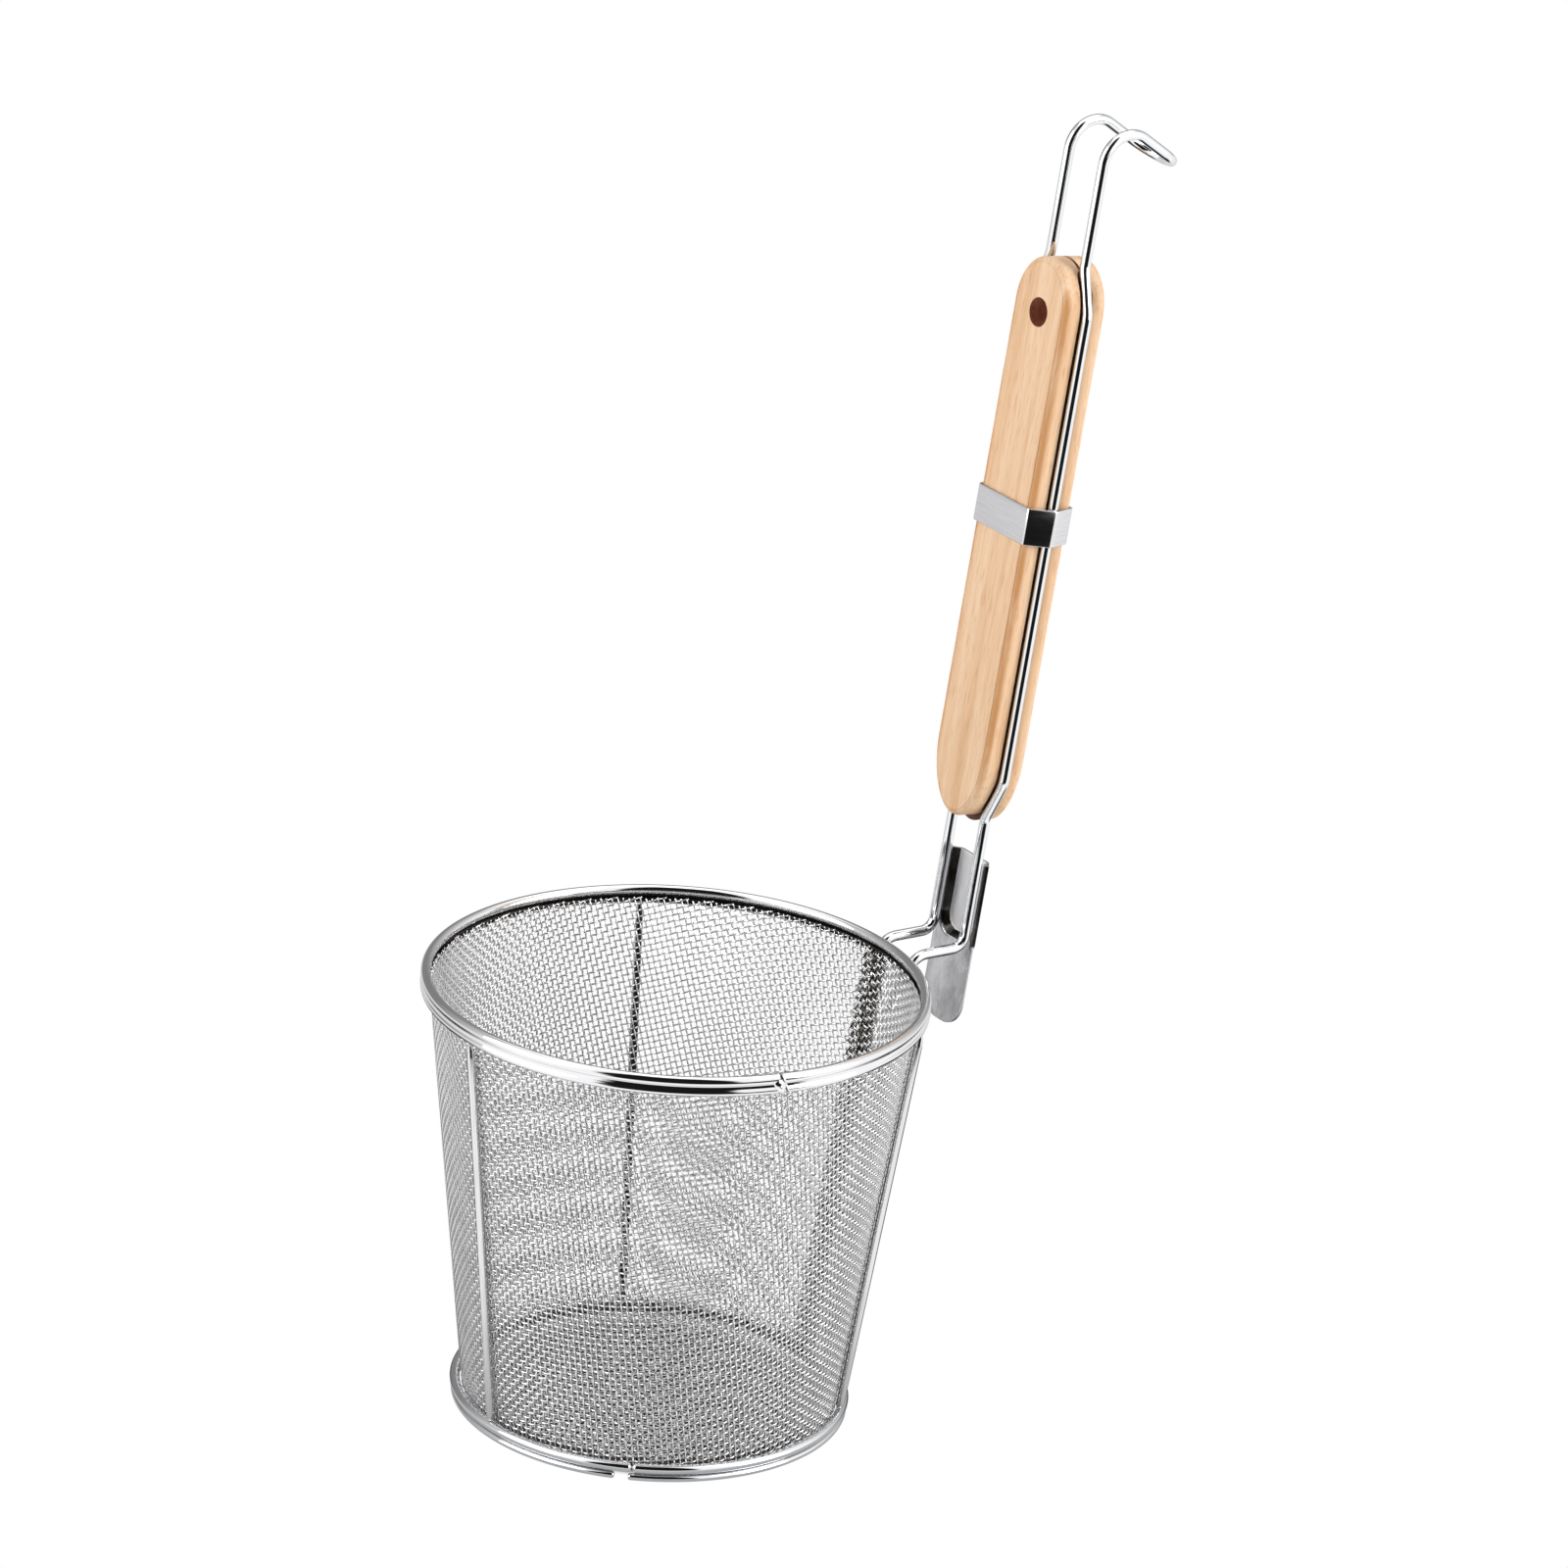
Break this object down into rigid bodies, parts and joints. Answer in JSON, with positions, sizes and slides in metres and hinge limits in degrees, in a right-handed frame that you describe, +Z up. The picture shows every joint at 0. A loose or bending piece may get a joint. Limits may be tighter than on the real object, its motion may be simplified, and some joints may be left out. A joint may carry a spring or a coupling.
{
  "type": "noodle strainer basket",
  "caption": "Round wire cloth noodle strainer basket with a rolled rim, base rings, ribs, a tall wire handle with a wooden grip, a rest plate and a hook.",
  "frame": {"origin": "on the floor under the middle of the whole object's box", "axes": "+Z up along the basket's axis, +X from the basket towards the handle, +Y across the handle"},
  "size_m": [0.2142, 0.14, 0.3566],
  "materials": {
    "steel_polished": "polished stainless steel wire and strip",
    "steel_satin": "drawn stainless steel wire, satin",
    "steel_cloth": "woven stainless steel wire cloth",
    "steel_pressed": "pressed stainless steel sheet, dull",
    "beech": "smooth light beech, thinly oiled"
  },
  "bodies": {
    "root": {"rim_band": "steel_polished", "rim_wire": "steel_satin", "wall_mesh": "steel_cloth", "base_mesh": "steel_cloth", "base_ring": "steel_polished", "foot_ring": "steel_polished", "rib_seam": "steel_satin", "rib_back": "steel_satin", "rib_left": "steel_satin", "rib_right": "steel_satin", "handle_wire": "steel_polished", "rest_plate": "steel_pressed", "grip_front": "beech", "grip_back": "beech", "grip_band": "steel_polished"}
  },
  "joints": []
}
